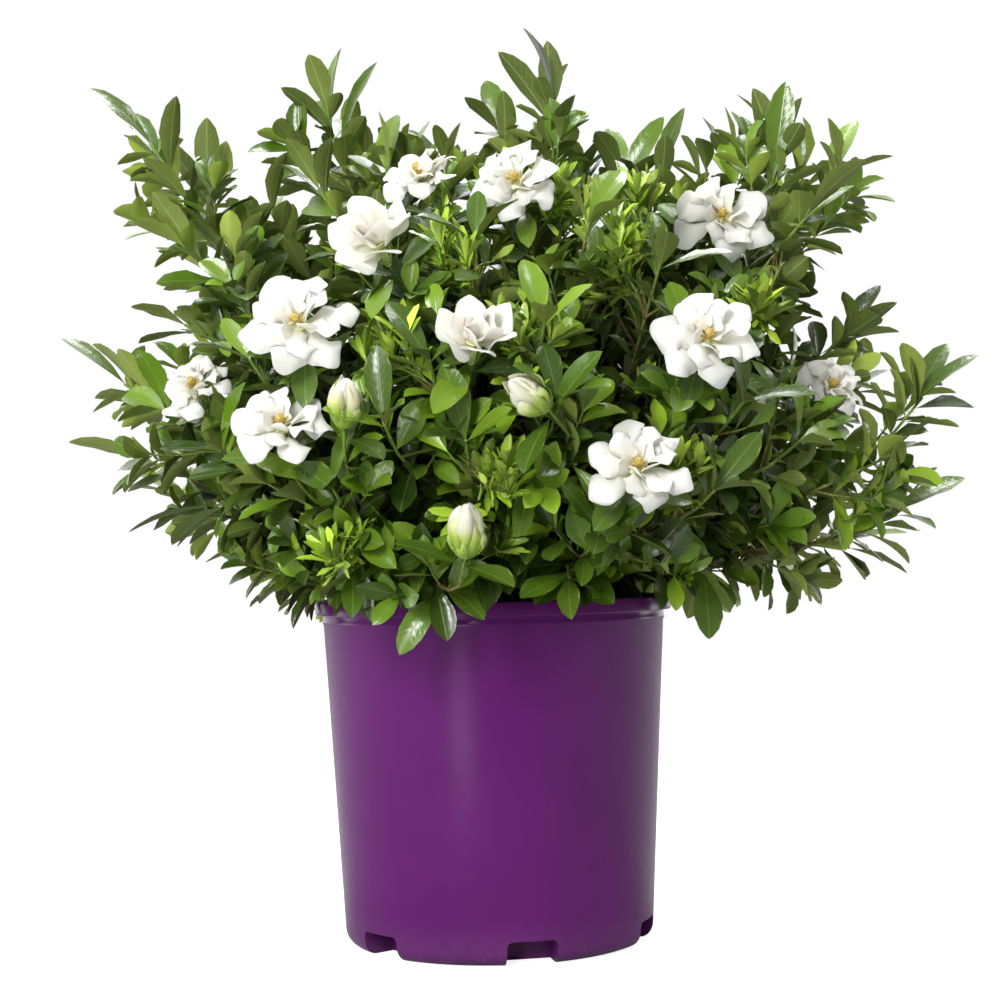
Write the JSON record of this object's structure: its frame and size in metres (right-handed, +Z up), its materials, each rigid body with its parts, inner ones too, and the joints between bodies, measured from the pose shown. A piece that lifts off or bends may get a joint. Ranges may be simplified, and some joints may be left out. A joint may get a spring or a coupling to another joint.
{
  "type": "potted gardenia",
  "caption": "White-flowering gardenia shrub growing in a round plastic nursery pot that is filled with potting mix and stands on its foot ring.",
  "frame": {"origin": "centre of the pot's foot, on the surface that it stands on", "axes": "+Z up along the pot's axis, -Y towards the viewer of the picture, +X to the picture's right"},
  "size_m": [0.6092, 0.5138, 0.605],
  "materials": {
    "pot_plastic": "satin",
    "potting_mix": "matte",
    "foliage": "satin",
    "petals": "matte",
    "stigma": "matte",
    "bud_skin": "satin"
  },
  "bodies": {
    "root": {"bud_10": "bud_skin", "bud_11": "bud_skin", "bud_13": "bud_skin", "bud_20": "bud_skin", "centre_01": "stigma", "centre_03": "stigma", "centre_04": "stigma", "centre_05": "stigma", "centre_07": "stigma", "centre_08": "stigma", "centre_09": "stigma", "centre_12": "stigma", "centre_14": "stigma", "centre_15": "stigma", "centre_16": "stigma", "centre_17": "stigma", "centre_18": "stigma", "corolla_01": "petals", "corolla_02": "petals", "corolla_03": "petals", "corolla_04": "petals", "corolla_05": "petals", "corolla_06": "petals", "corolla_07": "petals", "corolla_08": "petals", "corolla_09": "petals", "corolla_12": "petals", "corolla_14": "petals", "corolla_15": "petals", "corolla_16": "petals", "corolla_17": "petals", "corolla_18": "petals", "corolla_19": "petals", "leafy_cane_01": "foliage", "leafy_cane_02": "foliage", "leafy_cane_03": "foliage", "leafy_cane_04": "foliage", "leafy_cane_05": "foliage", "leafy_cane_06": "foliage", "leafy_cane_07": "foliage", "leafy_cane_08": "foliage", "leafy_cane_09": "foliage", "leafy_cane_10": "foliage", "leafy_cane_11": "foliage", "leafy_cane_12": "foliage", "leafy_cane_13": "foliage", "leafy_cane_14": "foliage", "leafy_cane_15": "foliage", "leafy_cane_16": "foliage", "pot": "pot_plastic", "soil": "potting_mix"}
  },
  "joints": []
}
